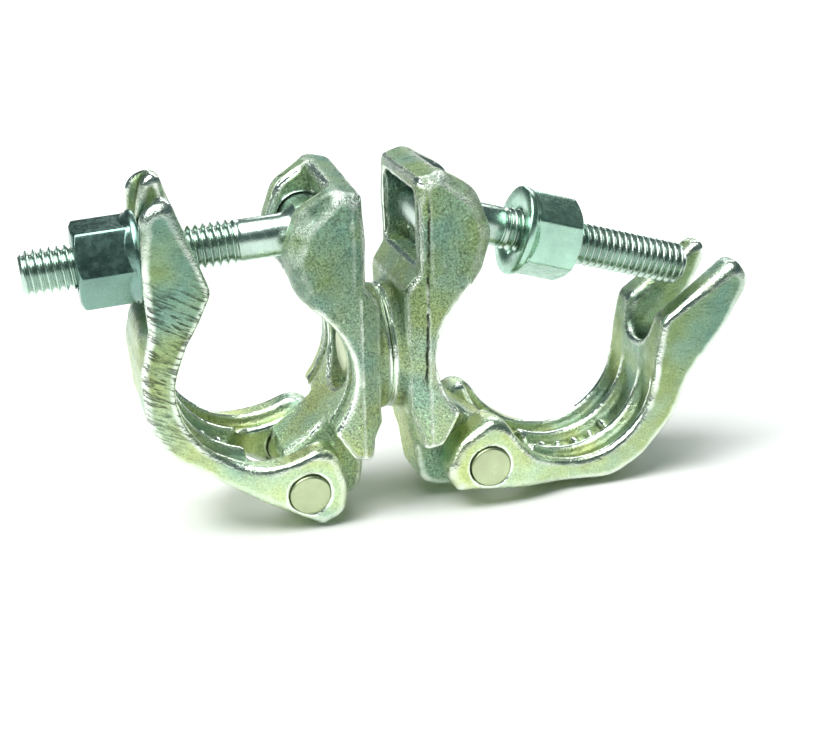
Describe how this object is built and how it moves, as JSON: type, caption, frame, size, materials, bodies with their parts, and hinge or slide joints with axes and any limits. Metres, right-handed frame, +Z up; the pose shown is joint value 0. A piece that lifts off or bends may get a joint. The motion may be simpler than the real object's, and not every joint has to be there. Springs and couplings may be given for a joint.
{
  "type": "scaffold swivel coupler",
  "caption": "Forged swivel scaffold coupler with two hinged tube clamps, swing T-bolts and flanged nuts.",
  "frame": {"origin": "on the right tube seat's axis, halfway along the seat", "axes": "+X from the left clamp to the right clamp along the swivel's axis, +Y along the right tube, +Z up through the T-bolts, hinges at the bottom"},
  "size_m": [0.2095, 0.0527, 0.1028],
  "materials": {
    "forged_zinc": "bright zinc plating on a forged surface",
    "bright_zinc": "bright zinc plating on turned steel",
    "nut_zinc": "bright zinc plating on a cold-formed nut"
  },
  "bodies": {
    "right_half": {"right_body": "forged_zinc", "swivel_rivet": "bright_zinc"},
    "left_half": {"left_body": "forged_zinc"},
    "right_arm": {"right_flap": "forged_zinc", "right_hinge_pin": "bright_zinc"},
    "left_arm": {"left_flap": "forged_zinc", "left_hinge_pin": "bright_zinc"},
    "right_bolt": {"right_t_bolt": "bright_zinc"},
    "left_bolt": {"left_t_bolt": "bright_zinc"},
    "right_nut": {"right_flange_nut": "nut_zinc"},
    "left_nut": {"left_flange_nut": "nut_zinc"}
  },
  "joints": [
    {"name": "swivel", "type": "hinge", "parent": "right_half", "child": "left_half", "pos_m": [-0.03636, 0, 0], "axis": [1, 0, 0], "continuous": true},
    {"name": "right_flap_hinge", "type": "hinge", "parent": "right_half", "child": "right_arm", "pos_m": [-0.00961, 0, -0.0342], "axis": [0, 1, 0], "range_deg": [-20, 75]},
    {"name": "left_flap_hinge", "type": "hinge", "parent": "left_half", "child": "left_arm", "pos_m": [-0.06311, 0.00289, -0.03408], "axis": [0, -0.9964, -0.0845], "range_deg": [-15, 0]},
    {"name": "right_bolt_swing", "type": "hinge", "parent": "right_half", "child": "right_bolt", "pos_m": [-0.01797, 0, 0.03763], "axis": [0, -1, 0], "range_deg": [-4, 74]},
    {"name": "left_bolt_swing", "type": "hinge", "parent": "left_half", "child": "left_bolt", "pos_m": [-0.05475, -0.00318, 0.0375], "axis": [0, 0.9964, 0.0845], "range_deg": [-2, 59]},
    {"name": "right_nut_travel", "type": "slide", "parent": "right_bolt", "child": "right_nut", "axis": [0.9549, 0, -0.2969], "range_m": [-0.0045, 0.024]},
    {"name": "left_nut_travel", "type": "slide", "parent": "left_bolt", "child": "left_nut", "axis": [-0.9987, 0.0043, -0.0502], "range_m": [0, 0.0145]}
  ]
}
